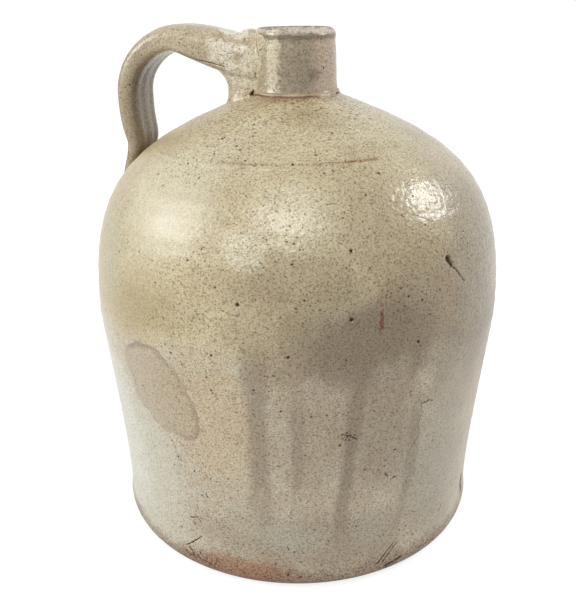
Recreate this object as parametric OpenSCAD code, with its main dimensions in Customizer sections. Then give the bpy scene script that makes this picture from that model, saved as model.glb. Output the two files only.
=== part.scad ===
// Two gallon stoneware jug: a thrown body, a luted neck and a pulled strap handle.
// The foot's centre is the origin, +Z is up and the handle stands on the -X side.

/* [Body] */
// Radius of the wall just above the foot
foot_r = 111; // [104:0.5:116]
// Rounding under the foot
foot_round = 9.4; // [5:0.2:12]
// How far the wall draws in above the foot
foot_waist = 3.9; // [0:0.1:6]
// Radius of the belly at its widest
belly_r = 119.3; // [114:0.1:126]
// Height of the widest part of the belly
belly_z = 138; // [125:1:150]
// Thickness of the thrown wall
wall = 8.5; // [6.5:0.1:10]
// Thickness of the floor
floor_t = 10; // [7:0.5:13]
// Rounding inside, where the floor meets the wall
floor_fillet = 18; // [10:0.5:24]

/* [Shoulder] */
// Height of the seat that the neck stands on
seat_z = 255; // [245:1:265]
// Slope of the shoulder where it reaches the neck, in degrees
crown_slope = 20.6; // [16:0.2:24]
// Rounding of the throat under the neck
throat_round = 5; // [3:0.2:5.6]
// Height of the line that the turning tool left on the shoulder
turned_line_z = 229.5; // [222:0.5:240]
// Depth of the turned line
turned_line_d = 0.5; // [0.2:0.1:1]

/* [Neck] */
// Radius of the neck where it sits on the shoulder
neck_base_r = 24.6; // [23.6:0.1:27]
// Radius of the neck below its rim
rim_r = 22.7; // [21.8:0.1:25]
// Radius of the bore in the clay
bore_r = 15; // [13:0.1:16]
// Height of the neck above its seat
neck_h = 35; // [32:0.5:40]
// Outer rounding of the rim
rim_round = 3.5; // [2:0.1:4]
// Inner rounding of the rim
mouth_round = 3.9; // [2:0.1:4]
// Thickness of the luting slip under the neck
slip_t = 0.5; // [0.3:0.1:1]
// Radius of the bead of slip squeezed out of the joint
slip_bead = 1.1; // [0.8:0.1:2]

/* [Lining] */
// Thickness of the slip glaze inside
lining_t = 0.5; // [0.4:0.1:1]

/* [Handle] */
// Width of the strap at the grip
strap_w = 30; // [26:0.5:33]
// Thickness of the strap over its crown
strap_t = 15; // [13:0.1:17]
// Thickness of the strap where it stands furthest out
leg_t = 13.9; // [12:0.1:16]
// Thickness of the strap at its root on the neck
root_t = 25; // [21:0.1:26]
// Depth of the hollow along the inside of the strap
strap_hollow = 0.8; // [0:0.1:1.5]
// Drop from the rim to the middle of the strap's root
root_drop = 18.8; // [17:0.1:20]
// How far the middle of the strap stands from the jug's axis
strap_reach = 100.7; // [97:0.1:106]
// Height of the middle of the strap at its furthest point
reach_z = 252; // [247:0.5:256]
// Distance of the strap's highest point from the jug's axis
crown_s = 69.8; // [66:0.1:73]
// Drop from the rim to the middle of the strap at its highest point
crown_drop = 6.2; // [4:0.1:9]
// Height of the tip of the strap's tail on the shoulder
tail_z = 193; // [188:0.5:198]
// Width of the tail's tip
tail_w = 25; // [20:0.5:30]
// How far the tail's tip is pressed into the shoulder
tail_sink = 1.5; // [0.8:0.1:2.5]

/* [Root wad] */
// Half width of the wad at its waist
wad_half = 15.4; // [13:0.1:17]
// How much wider the wad spreads on the shoulder
wad_spread = 2.2; // [0.5:0.1:4]
// How far the wad stands out from the neck at its waist
wad_out = 12.2; // [10:0.1:14]
// How far the wad's foot runs out over the shoulder
wad_foot = 16.4; // [15:0.1:19]
// How deep the wad's foot starts below the neck's seat
wad_depth = 7.5; // [6.5:0.1:9]

/* [Hidden] */
$fn = 120;

clay = [0.74, 0.69, 0.56];
clay_warm = [0.76, 0.68, 0.53];
slip_brown = [0.45, 0.27, 0.16];
lining_brown = [0.22, 0.12, 0.07];

// Steps along each curve and round each section
wall_steps = 12;
shoulder_steps = 22;
round_steps = 6;
neck_steps = 8;
strap_steps = [11, 12, 17];
strap_sides = 24;
wad_steps = 11;
wad_sides = 20;
search_steps = 30;

// Where the Bezier handles of the two body curves stand, as shares of their spans
wall_start_share = 0.162;
wall_end_share = 0.099;
shoulder_swell_share = 0.613;
crown_reach_share = 0.8;
turned_line_span_share = 0.012;
// The neck's curve, as shares of its height and of its taper
neck_flare_share = 0.12;
neck_draw_share = 0.9;
neck_even_share = 0.45;
neck_upper_share = 0.36;
// The strap's run, as shares of its root, crown and reach
root_bite_share = 0.66;
root_rise_share = 0.69;
root_lift_share = 0.67;
crown_lead_share = 0.15;
crown_round_share = 0.43;
reach_round_share = 0.58;
reach_fall_share = 0.62;
tail_ease_share = 0.86;
// How square the strap's outer and inner faces are: 1 is an ellipse
outer_square_share = 0.78;
inner_square_share = 0.5;
side_square_share = 0.62;
tail_tip_share = 0.4;
// The rounded end of the tail, as shares of its run and of its width
tongue_share = 0.16;
tongue_tip_share = 0.4;
root_flare_share = 1.07;
// The wad's upper end, as a place along the strap's first curve and shares of the strap
wad_top_share = 0.55;
wad_under_share = 0.62;
wad_lift_share = 0.2;
wad_bend_share = 0.4;
wad_waist_share = 0.42;
wad_core_share = 0.4;
wad_top_width_share = 0.88;

neck_top = seat_z + neck_h;
collar_z = seat_z + slip_t;
bore_slip_r = bore_r - lining_t;
lining_top = neck_top - mouth_round;

function bez(p, t) =
    pow(1 - t, 3) * p[0] + 3 * pow(1 - t, 2) * t * p[1] + 3 * (1 - t) * t * t * p[2] + pow(t, 3) * p[3];
function bez_rate(p, t) =
    pow(1 - t, 2) * (p[1] - p[0]) + 2 * (1 - t) * t * (p[2] - p[1]) + t * t * (p[3] - p[2]);
function unit(v) = v / norm(v);
function heading(p, t) = unit(bez_rate(p, t));
// The side that lies to the right of the way the curve runs
function right_of(v) = [v[1], -v[0]];
function arc(c, r, from, to) =
    [for (i = [0:round_steps]) let (a = from + (to - from) * i / round_steps) c + r * [cos(a), sin(a)]];
function reversed(list) = [for (i = [len(list) - 1:-1:0]) list[i]];
// Where a curve that climbs all the way reaches the height z
function t_at(p, z, lo = 0, hi = 1, n = search_steps) =
    n == 0 ? (lo + hi) / 2
    : let (mid = (lo + hi) / 2) bez(p, mid)[1] < z ? t_at(p, z, mid, hi, n - 1) : t_at(p, z, lo, mid, n - 1);

wall_rise = belly_z - foot_round;
shoulder_rise = seat_z - belly_z;
crown_reach = crown_reach_share * (belly_r - neck_base_r);
wall_curve = [
    [foot_r, foot_round],
    [foot_r - foot_waist, foot_round + wall_start_share * wall_rise],
    [belly_r, belly_z - wall_end_share * wall_rise],
    [belly_r, belly_z]
];
shoulder_curve = [
    [belly_r, belly_z],
    [belly_r, belly_z + shoulder_swell_share * shoulder_rise],
    [neck_base_r, seat_z] + crown_reach * [cos(crown_slope), -sin(crown_slope)],
    [neck_base_r, seat_z]
];

// A point of a body curve, taken in under its surface
function under(p, t, depth) = bez(p, t) - depth * right_of(heading(p, t));

line_t = t_at(shoulder_curve, turned_line_z);
line_gap = turned_line_span_share;
outer_shoulder = concat(
    [for (i = [1:shoulder_steps]) if (i / shoulder_steps < line_t - line_gap) bez(shoulder_curve, i / shoulder_steps)],
    [for (d = [-1, 0, 1]) under(shoulder_curve, line_t + d * line_gap, (1 - abs(d)) * turned_line_d)],
    [for (i = [1:shoulder_steps]) if (i / shoulder_steps > line_t + line_gap) bez(shoulder_curve, i / shoulder_steps)]
);
body_outside = concat(
    [[0, 0]],
    arc([foot_r - foot_round, foot_round], foot_round, -90, 0),
    [for (i = [1:wall_steps]) bez(wall_curve, i / wall_steps)],
    outer_shoulder
);

// The hollow's outline from the floor's centre to the bore, grown inwards by d
function cavity(d) =
    let (
        depth = wall + d,
        bore = bore_r - d,
        fillet = floor_fillet - d,
        fillet_z = floor_t + floor_fillet,
        start_t = t_at(wall_curve, fillet_z),
        start_r = under(wall_curve, start_t, depth)[0],
        dome_end = under(shoulder_curve, 1, depth),
        lip = throat_round + d,
        lip_turn = 90 - crown_slope,
        corner_z = dome_end[1] + (dome_end[0] - bore) * tan(crown_slope),
        lip_z = corner_z + lip * tan(lip_turn / 2)
    )
    concat(
        [[0, floor_t + d]],
        arc([start_r - fillet, fillet_z], fillet, -90, 0),
        [for (i = [1:wall_steps]) if (i / wall_steps > start_t) under(wall_curve, i / wall_steps, depth)],
        [for (i = [1:shoulder_steps - 1]) under(shoulder_curve, i / shoulder_steps, depth)],
        arc([bore + lip, lip_z], lip, 270 - crown_slope, 180)
    );

neck_taper = neck_base_r - rim_r;
neck_curve = [
    [neck_base_r, collar_z],
    [neck_base_r - neck_draw_share * neck_taper, collar_z + neck_flare_share * neck_h],
    [rim_r + neck_upper_share * neck_taper, collar_z + neck_even_share * neck_h],
    [rim_r, neck_top - rim_round]
];
neck_outside = concat(
    [for (i = [0:neck_steps - 1]) bez(neck_curve, i / neck_steps)],
    arc([rim_r - rim_round, neck_top - rim_round], rim_round, 0, 90)
);

// The strap's middle line, from inside the neck over the crown to the tail on the shoulder
root_s = root_bite_share * neck_base_r;
root_z = neck_top - root_drop;
crown_z = neck_top - crown_drop;
tail_t = t_at(shoulder_curve, tail_z);
tail_tip = under(shoulder_curve, tail_t, tail_sink);
tail_up = heading(shoulder_curve, tail_t);
tail_fall = reach_z - tail_z;
strap_curves = [
    [
        [root_s, root_z],
        [root_s + root_rise_share * (crown_s - root_s), root_z + root_lift_share * (crown_z - root_z)],
        [crown_s - crown_lead_share * (crown_s - root_s), crown_z],
        [crown_s, crown_z]
    ],
    [
        [crown_s, crown_z],
        [crown_s + crown_round_share * (strap_reach - crown_s), crown_z],
        [strap_reach, reach_z + reach_round_share * (crown_z - reach_z)],
        [strap_reach, reach_z]
    ],
    [
        [strap_reach, reach_z],
        [strap_reach, reach_z - reach_fall_share * tail_fall],
        tail_tip + tail_ease_share * tail_fall * tail_up,
        tail_tip
    ]
];
function grown(t, from, to) = from + (to - from) * t;
// Thickness and width of the strap on curve k at t
function strap_depth(k, t) =
    k == 0 ? grown(t, root_t, strap_t)
    : k == 1 ? grown(t * t * (3 - 2 * t), strap_t, leg_t)
    : leg_t * grown(t * t, 1, tail_tip_share);
function tongue(t) =
    let (u = max(0, (t - 1 + tongue_share) / tongue_share)) sqrt(1 - u * u * (1 - pow(tongue_tip_share, 2)));
function strap_width(k, t) =
    k == 0 ? strap_w * grown(t, root_flare_share, 1)
    : k == 1 ? strap_w : grown(t * t, strap_w, tail_w) * tongue(t);
function powered(v, e) = sign(v) * pow(abs(v), e);
// A round-cornered section: the outer face is crowned, the inner one flatter with a shallow hollow
function strap_ring(k, t) =
    let (
        c = bez(strap_curves[k], t),
        out = -right_of(heading(strap_curves[k], t)),
        half = strap_width(k, t) / 2,
        deep = strap_depth(k, t) / 2
    )
    [for (i = [0:strap_sides - 1])
        let (
            a = 360 * i / strap_sides,
            side = powered(cos(a), sin(a) > 0 ? outer_square_share : side_square_share),
            rise = powered(sin(a), sin(a) > 0 ? outer_square_share : inner_square_share),
            hollow = rise < 0 ? strap_hollow * pow(1 - side * side, 2) * deep * 2 / strap_t : 0,
            p = c + (rise * deep + hollow) * out
        )
        [-p[0], side * half, p[1]]];
strap_rings = [for (k = [0:2]) for (i = [k == 0 ? 0 : 1:strap_steps[k]]) strap_ring(k, i / strap_steps[k])];

// The wad's outer line, from under the shoulder to inside the strap
wad_top = bez(strap_curves[0], wad_top_share) - [0, wad_under_share * strap_t];
wad_line = [
    [neck_base_r + wad_foot, seat_z - wad_depth],
    [neck_base_r + wad_out, grown(wad_waist_share, seat_z - wad_depth, wad_top[1])]
        - [0, wad_bend_share * wad_half / 2],
    [neck_base_r + wad_out, wad_top[1] - wad_bend_share * wad_half],
    wad_top
];
function wad_width(t) = wad_half * grown(t, 1, wad_top_width_share) + wad_spread * pow(1 - t, 3);
function wad_ring(s, z, half) =
    let (core = wad_core_share * neck_base_r)
    [for (i = [0:wad_sides - 1])
        let (
            a = 360 * i / wad_sides,
            out = cos(a) > 0 ? (s - core) * powered(cos(a), outer_square_share) : core / 2 * cos(a)
        )
        [-core - out, half * powered(sin(a), side_square_share), z]];
wad_rings = concat(
    [for (i = [0:wad_steps])
        let (t = i / wad_steps, p = bez(wad_line, t)) wad_ring(p[0], p[1], wad_width(t))],
    [wad_ring(wad_top[0], wad_top[1] + wad_lift_share * strap_t, wad_width(1))]
);

// A closed skin over a run of rings of equal count
module lofted(rings) {
    sides = len(rings[0]);
    last = len(rings) - 1;
    polyhedron(
        points = [for (ring = rings) for (p = ring) p],
        faces = concat(
            [[for (i = [sides - 1:-1:0]) i]],
            [for (j = [0:last - 1]) for (i = [0:sides - 1])
                let (a = j * sides + i, b = j * sides + (i + 1) % sides)
                each [[a, b, a + sides], [b, b + sides, a + sides]]],
            [[for (i = [0:sides - 1]) last * sides + i]]
        )
    );
}

module body_outline() polygon(concat(body_outside, [[0, seat_z]]));
module neck_outline() polygon(concat([[0, collar_z]], neck_outside, [[0, neck_top]]));
module slip_outline(inside) {
    translate([inside, seat_z]) square([neck_base_r - inside, slip_t]);
    translate([neck_base_r, collar_z]) circle(slip_bead);
}
module body_space() rotate_extrude() body_outline();
module neck_space() rotate_extrude() neck_outline();
module slip_space() rotate_extrude() slip_outline(0);
module strap_space() lofted(strap_rings);

module jug_body() {
    color(clay)
        rotate_extrude() polygon(concat(body_outside, [[bore_r, seat_z]], reversed(cavity(0))));
}

module neck_collar() {
    color(clay)
        rotate_extrude() polygon(concat(
            [[bore_r, collar_z]],
            neck_outside,
            arc([bore_r + mouth_round, neck_top - mouth_round], mouth_round, 90, 180)
        ));
}

// A thin layer under the neck, with the bead that squeezes out round it
module neck_luting_slip() {
    color(slip_brown)
        rotate_extrude() difference() {
            slip_outline(bore_r);
            body_outline();
            neck_outline();
        }
}

module handle_strap() {
    color(clay_warm)
        difference() {
            strap_space();
            body_space();
            neck_space();
        }
}

module handle_root_wad() {
    color(clay_warm)
        difference() {
            lofted(wad_rings);
            body_space();
            neck_space();
            slip_space();
            strap_space();
        }
}

module slip_lining() {
    color(lining_brown)
        rotate_extrude() polygon(concat(
            cavity(0),
            [[bore_r, lining_top], [bore_slip_r, lining_top]],
            reversed(cavity(lining_t))
        ));
}

jug_body();
neck_collar();
neck_luting_slip();
handle_strap();
handle_root_wad();
slip_lining();
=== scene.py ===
from math import cos, exp, hypot, pi, radians, sin, sqrt

import bmesh
import bpy
from mathutils import Matrix, Vector, noise
from mathutils.bvhtree import BVHTree


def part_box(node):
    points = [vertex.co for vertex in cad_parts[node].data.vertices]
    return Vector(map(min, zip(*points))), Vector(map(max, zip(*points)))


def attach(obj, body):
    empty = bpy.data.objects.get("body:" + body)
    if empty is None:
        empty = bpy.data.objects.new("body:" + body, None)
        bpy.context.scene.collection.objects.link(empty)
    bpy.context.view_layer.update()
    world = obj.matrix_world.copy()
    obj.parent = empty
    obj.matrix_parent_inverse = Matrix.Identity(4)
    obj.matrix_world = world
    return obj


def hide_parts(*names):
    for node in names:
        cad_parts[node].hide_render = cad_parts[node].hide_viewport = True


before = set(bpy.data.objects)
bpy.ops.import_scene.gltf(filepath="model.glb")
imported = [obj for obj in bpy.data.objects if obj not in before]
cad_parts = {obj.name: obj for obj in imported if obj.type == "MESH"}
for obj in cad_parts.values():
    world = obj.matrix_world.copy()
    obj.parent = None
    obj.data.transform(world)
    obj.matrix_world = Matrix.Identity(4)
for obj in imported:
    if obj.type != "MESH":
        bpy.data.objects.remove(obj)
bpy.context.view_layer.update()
print("frame loaded")

mm = 0.001


# small helpers shared by the pieces
def bezier(points, t):
    a, b, c, d = (Vector(p) for p in points)
    return a * (1 - t) ** 3 + b * 3 * t * (1 - t) ** 2 + c * 3 * t * t * (1 - t) + d * t ** 3


def heading(points, t):
    # which way the curve runs at t
    a, b, c, d = (Vector(p) for p in points)
    return ((b - a) * (1 - t) ** 2 + (c - b) * 2 * t * (1 - t) + (d - c) * t * t).normalized()


def mixed(t, a, b):
    return a + (b - a) * t


def eased(value, low, high):
    # 0 up to low, 1 from high, smooth between them
    t = min(max((value - low) / (high - low), 0), 1)
    return t * t * (3 - 2 * t)


def bump(distance, width):
    return exp(-(distance / width) ** 2)


def arcPoints(centre, radius, start, end, steps):
    out = []
    for i in range(steps + 1):
        a = radians(mixed(i / steps, start, end))
        out.append(Vector((centre[0] + radius * cos(a), centre[1] + radius * sin(a))))
    return out


def azimuthOf(co):
    return Vector((co.x, co.y)).angle_signed(Vector((1, 0)), 0)


def spunMesh(outline, turns):
    # a closed outline of radius and height, spun once round the jug's axis
    bm = bmesh.new()
    verts = [bm.verts.new((p[0], 0, p[1])) for p in outline]
    ends = 0 if outline[0][0] == 0 and outline[-1][0] == 0 else 1
    edges = [bm.edges.new((verts[i], verts[(i + 1) % len(verts)])) for i in range(len(verts) - 1 + ends)]
    bmesh.ops.spin(bm, geom=verts + edges, cent=(0, 0, 0), axis=(0, 0, 1), dvec=(0, 0, 0),
                   angle=2 * pi, steps=turns, use_merge=True)
    bmesh.ops.remove_doubles(bm, verts=bm.verts, dist=0.00002)
    bmesh.ops.recalc_face_normals(bm, faces=bm.faces)
    return bm


def newObject(name, bm):
    mesh = bpy.data.meshes.new(name)
    bm.to_mesh(mesh)
    bm.free()
    made = bpy.data.objects.new(name, mesh)
    bpy.context.scene.collection.objects.link(made)
    return made


def addPiece(name, bm, material, slot, *nodes):
    piece = newObject(name, bm)
    for face in piece.data.polygons:
        face.use_smooth = True
    piece.data.materials.append(material)
    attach(piece, "root")
    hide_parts(*nodes)
    print(name, "has", len(piece.data.polygons), "faces")


# shader values: arithmetic on them adds Math nodes
class Value:
    def __init__(self, tree, socket):
        self.tree = tree
        self.socket = socket

    def math(self, operation, *others):
        return addNode(self.tree, "ShaderNodeMath", {"operation": operation}, [self, *others])

    def __add__(self, other):
        return self.math("ADD", other)

    __radd__ = __add__

    def __sub__(self, other):
        return self.math("SUBTRACT", other)

    def __rsub__(self, other):
        return addNode(self.tree, "ShaderNodeMath", {"operation": "SUBTRACT"}, [other, self])

    def __mul__(self, other):
        return self.math("MULTIPLY", other)

    __rmul__ = __mul__

    def __truediv__(self, other):
        return self.math("DIVIDE", other)

    def __neg__(self):
        return self.math("MULTIPLY", -1)

    def __abs__(self):
        return self.math("ABSOLUTE")

    def between(self, low, high, start=0.0, end=1.0):
        return addNode(self.tree, "ShaderNodeMapRange", {"interpolation_type": "SMOOTHSTEP"},
                       {"Value": self, "From Min": low, "From Max": high, "To Min": start, "To Max": end})


def addNode(tree, kind, settings=None, inputs=None, output=0):
    node = tree.nodes.new(kind)
    for key, value in (settings or {}).items():
        setattr(node, key, value)
    pairs = inputs.items() if isinstance(inputs, dict) else enumerate(inputs or [])
    for key, value in pairs:
        if isinstance(value, Value):
            tree.links.new(value.socket, node.inputs[key])
        else:
            node.inputs[key].default_value = value
    return Value(tree, node.outputs[output]) if node.outputs else None


def paint(red, green, blue):
    # a colour by its screen numbers, 0 to 255
    return tuple((c / 255 / 12.92) if c < 11 else ((c / 255 + 0.055) / 1.055) ** 2.4
                 for c in (red, green, blue)) + (1.0,)


def blend(mask, under, over, mode="MIX"):
    # the Mix node keeps its factor at socket 0 and its colours at 6 and 7, with the result at 2
    return addNode(mask.tree, "ShaderNodeMix", {"data_type": "RGBA", "blend_type": mode},
                   {0: mask, 6: under, 7: over}, output=2)


def newMaterial(name):
    material = bpy.data.materials.new(name)
    material.use_nodes = True
    tree = material.node_tree
    tree.nodes.clear()
    place = addNode(tree, "ShaderNodeTexCoord", output="Object")
    return material, tree, place


saltGloss = {"IOR": 1.5, "Specular IOR Level": 0.62}


def finishMaterial(tree, colour, roughness, metallic, height, reach, fixed):
    normal = addNode(tree, "ShaderNodeBump", {}, {"Strength": 1.0, "Distance": reach, "Height": height},
                     output="Normal")
    inputs = {"Base Color": colour, "Roughness": roughness, "Normal": normal, **fixed}
    if metallic:
        inputs["Metallic"] = metallic
    shader = addNode(tree, "ShaderNodeBsdfPrincipled", {}, inputs)
    addNode(tree, "ShaderNodeOutputMaterial", {}, {"Surface": shader})


def noiseAt(place, size, detail=2.0, rough=0.5, stretch=(1, 1, 1), shift=(0, 0, 0)):
    moved = addNode(place.tree, "ShaderNodeMapping", {},
                    {"Vector": place, "Location": shift, "Scale": stretch})
    return addNode(place.tree, "ShaderNodeTexNoise", {"noise_dimensions": "3D"},
                   {"Vector": moved, "Scale": 1 / size, "Detail": detail, "Roughness": rough})


def dotsAt(place, spacing, radius, share, shift=(0, 0, 0), soft=0.35):
    # round dots of mixed sizes, one at most in each cell, in a share of the cells
    moved = addNode(place.tree, "ShaderNodeMapping", {}, {"Vector": place, "Location": shift})
    far = addNode(place.tree, "ShaderNodeTexVoronoi", {}, {"Vector": moved, "Scale": 1 / spacing},
                  output="Distance")
    pick = addNode(place.tree, "ShaderNodeSeparateColor", {},
                   [Value(place.tree, far.socket.node.outputs["Color"])])
    size = pick.between(1 - share, 1, 0.0, radius / spacing)
    return ((size - far) / (radius / spacing * soft)).math("MINIMUM", 1.0).math("MAXIMUM", 0.0)


def along(place, direction):
    return addNode(place.tree, "ShaderNodeVectorMath", {"operation": "DOT_PRODUCT"},
                   [place, direction], output="Value")


def facing(place, azimuth):
    # distance to the side of, and out towards, an azimuth round the jug
    a = radians(azimuth)
    return along(place, (-sin(a), cos(a), 0)), along(place, (cos(a), sin(a), 0))


def cutShade(tree):
    return addNode(tree, "ShaderNodeAttribute", {"attribute_name": "cut"}, output="Fac")


def seenRays(tree):
    # 1 for the rays that show the white surround: straight from the camera, off gloss or through glass
    seen = addNode(tree, "ShaderNodeLightPath", output="Is Camera Ray")
    rays = seen.socket.node.outputs
    for ray in ("Is Glossy Ray", "Is Transmission Ray"):
        seen = seen.math("MAXIMUM", Value(tree, rays[ray]))
    return seen


# the profile of the thrown body, as radius and height
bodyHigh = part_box("jug_body")[1]
neckLow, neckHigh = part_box("neck_collar")
bodyShape = {
    "bellyRadius": bodyHigh.x,
    "bellyHeight": 138 * mm,
    "seatHeight": bodyHigh.z,
    "neckRadius": neckHigh.x,
    "footRadius": 111 * mm,
    "footRound": 9.4 * mm,
    "footWaist": 3.9 * mm,
    "wall": 8.5 * mm,
    "floor": 10 * mm,
    "floorFillet": 18 * mm,
    "boreRadius": 15 * mm,
    "crownSlope": 20.6,
    "throatRound": 5 * mm,
    "wallStartShare": 0.162,
    "wallEndShare": 0.099,
    "swellShare": 0.613,
    "crownReachShare": 0.8,
    "turns": 320,
    "wallRings": 50,
    "shoulderRings": 66,
    "lineHeight": 229.6 * mm,
    "lineBand": 4 * mm,
    "lineWidth": 0.45 * mm,
    "lineDepths": (0.5 * mm, 0.4 * mm),
    "lineRidge": 0.3 * mm,
    "lineGaps": (2.1 * mm, 0.9 * mm),
    "lineFaint": 0.3,
    "lineClimb": 0.006,
    "lineBend": 0.004,
    "lineFront": 80 * mm,
    "lineRings": 16,
    "insideRings": 16,
    "wobble": 0.35 * mm,
    "ringDepth": 0.1 * mm,
    "ringPitch": 8.5 * mm,
}


def bodyCurves(s):
    wallRise = s["bellyHeight"] - s["footRound"]
    rise = s["seatHeight"] - s["bellyHeight"]
    reach = s["crownReachShare"] * (s["bellyRadius"] - s["neckRadius"])
    slope = radians(s["crownSlope"])
    belly = (s["bellyRadius"], s["bellyHeight"])
    wallCurve = [
        (s["footRadius"], s["footRound"]),
        (s["footRadius"] - s["footWaist"], s["footRound"] + s["wallStartShare"] * wallRise),
        (s["bellyRadius"], s["bellyHeight"] - s["wallEndShare"] * wallRise),
        belly,
    ]
    shoulderCurve = [
        belly,
        (s["bellyRadius"], s["bellyHeight"] + s["swellShare"] * rise),
        (s["neckRadius"] + reach * cos(slope), s["seatHeight"] - reach * sin(slope)),
        (s["neckRadius"], s["seatHeight"]),
    ]
    return wallCurve, shoulderCurve


wallCurve, shoulderCurve = bodyCurves(bodyShape)


def climbTo(curve, height):
    # how far along a rising curve a height is reached
    low, high = 0.0, 1.0
    for _ in range(30):
        middle = (low + high) / 2
        if bezier(curve, middle)[1] < height:
            low = middle
        else:
            high = middle
    return low


def inset(curve, t, depth):
    # the place at a depth under the curve, square to it
    way = heading(curve, t)
    return bezier(curve, t) - depth * Vector((way[1], -way[0]))


def bodyOutline(s):
    foot = s["footRadius"] - s["footRound"]
    outer = [Vector((foot * share, 0)) for share in (0, 0.3, 0.6, 0.85, 0.96)]
    outer += arcPoints((foot, s["footRound"]), s["footRound"], -90, 0, 9)
    outer += [bezier(wallCurve, i / s["wallRings"]) for i in range(1, s["wallRings"] + 1)]
    bandLow = climbTo(shoulderCurve, s["lineHeight"] - s["lineBand"])
    bandHigh = climbTo(shoulderCurve, s["lineHeight"] + s["lineBand"])
    steps = [i / s["shoulderRings"] for i in range(1, s["shoulderRings"] + 1)]
    outer += [bezier(shoulderCurve, t) for t in steps if t < bandLow]
    band = [mixed(i / s["lineRings"], bandLow, bandHigh) for i in range(s["lineRings"] + 1)]
    outer += [bezier(shoulderCurve, t) for t in band]
    outer += [bezier(shoulderCurve, t) for t in steps if t > bandHigh]
    # the hollow, from the bore down to the floor's centre
    depth = s["wall"]
    bore = s["boreRadius"]
    slope = s["crownSlope"]
    dome = inset(shoulderCurve, 1, depth)
    lip = s["throatRound"]
    corner = dome[1] + (dome[0] - bore) * sin(radians(slope)) / cos(radians(slope))
    half = radians(90 - slope) / 2
    lipHeight = corner + lip * sin(half) / cos(half)
    filletHeight = s["floor"] + s["floorFillet"]
    start = climbTo(wallCurve, filletHeight)
    side = inset(wallCurve, start, depth)[0]
    inner = [Vector((bore, s["seatHeight"]))]
    inner += arcPoints((bore + lip, lipHeight), lip, 180, 270 - slope, 5)
    count = s["insideRings"]
    inner += [inset(shoulderCurve, i / count, depth) for i in range(count - 1, 0, -1)]
    inner += [inset(wallCurve, t, depth) for t in (1 - i / count for i in range(count)) if t > start]
    inner += arcPoints((side - s["floorFillet"], filletHeight), s["floorFillet"], 0, -90, 6)
    inner.append(Vector((0, s["floor"])))
    return outer, inner


# places on the body are given as azimuth in degrees from +X and height in metres
def onBody(azimuth, height):
    curve = wallCurve if height < bodyShape["bellyHeight"] else shoulderCurve
    radius = bezier(curve, climbTo(curve, height))[0]
    return Vector((radius * cos(radians(azimuth)), radius * sin(radians(azimuth)), height))


# marks cut into the clay: the path, then its half width at the start and end and its depth in millimetres
bodyCuts = [
    ([(-32.2, 0.1845), (-31.6, 0.1825), (-31.1, 0.1808)], 2.5, 1.7, 2.0),
    ([(-31.0, 0.1806), (-29.4, 0.1769), (-28.3, 0.1744), (-26.8, 0.1706)], 0.7, 0.4, 0.8),
    ([(-49.8, 0.0103), (-47.2, 0.0152), (-44.4, 0.0203)], 0.7, 0.5, 1.2),
    ([(-48.0, 0.0104), (-45.6, 0.0150), (-43.0, 0.0198)], 0.65, 0.45, 1.1),
    ([(-46.6, 0.0060), (-44.2, 0.0070), (-41.6, 0.0088)], 2.2, 1.3, 2.2),
    ([(-108.7, 0.0145), (-105.8, 0.0192), (-102.9, 0.0246)], 0.55, 0.4, 0.8),
    ([(-107.6, 0.0138), (-106.1, 0.0112), (-105.0, 0.0078)], 0.8, 0.5, 1.1),
    ([(-108.9, 0.0108), (-106.9, 0.0088)], 0.7, 0.5, 1.0),
    ([(-104.6, 0.0112), (-102.4, 0.0078)], 0.7, 0.5, 1.0),
    ([(-103.8, 0.0140), (-102.9, 0.0118), (-101.0, 0.0112)], 0.6, 0.45, 0.8),
    ([(-101.6, 0.0095), (-98.6, 0.0072)], 0.6, 0.5, 0.9),
    ([(-105.9, 0.0355), (-104.0, 0.0374), (-102.8, 0.0352)], 0.65, 0.45, 0.8),
    ([(-105.4, 0.0330), (-104.6, 0.0318)], 0.6, 0.5, 0.8),
    ([(-6.0, 0.0285), (-6.5, 0.0230), (-3.0, 0.0130)], 2.0, 1.4, 1.1),
    ([(-40.0, 0.1095), (-37.4, 0.1100), (-35.4, 0.1078)], 0.7, 0.4, 0.6),
    ([(-40.6, 0.1111), (-39.4, 0.1041), (-40.5, 0.0968), (-39.3, 0.0902), (-41.6, 0.0835), (-42.9, 0.0786)],
     0.9, 0.7, 0.16),
    ([(-62.4, 0.1010), (-60.8, 0.0998), (-60.0, 0.0992)], 0.6, 0.45, 0.9),
    ([(-59.6, 0.0985), (-58.2, 0.0968)], 0.6, 0.4, 0.9),
    ([(-61.4, 0.0972), (-60.6, 0.1000)], 0.55, 0.4, 0.8),
    ([(-49.6, 0.0712), (-48.2, 0.0688)], 0.6, 0.4, 0.7),
    ([(-46.6, 0.0668), (-44.8, 0.0660)], 0.7, 0.5, 0.8),
    ([(-58.3, 0.0630), (-57.4, 0.0598)], 0.5, 0.35, 0.45),
    ([(-65.0, 0.2150), (-63.0, 0.2152), (-61.1, 0.2143)], 0.5, 0.3, 0.35),
    ([(-25.1, 0.0241), (-23.3, 0.0282)], 0.6, 0.4, 0.6),
    ([(-78.4, 0.0290), (-77.4, 0.0245)], 0.45, 0.3, 0.4),
    ([(-90.9, 0.0625), (-89.4, 0.0638)], 0.6, 0.4, 0.7),
    ([(-107.3, 0.0778), (-107.0, 0.0730)], 0.45, 0.35, 0.4),
]


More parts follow.
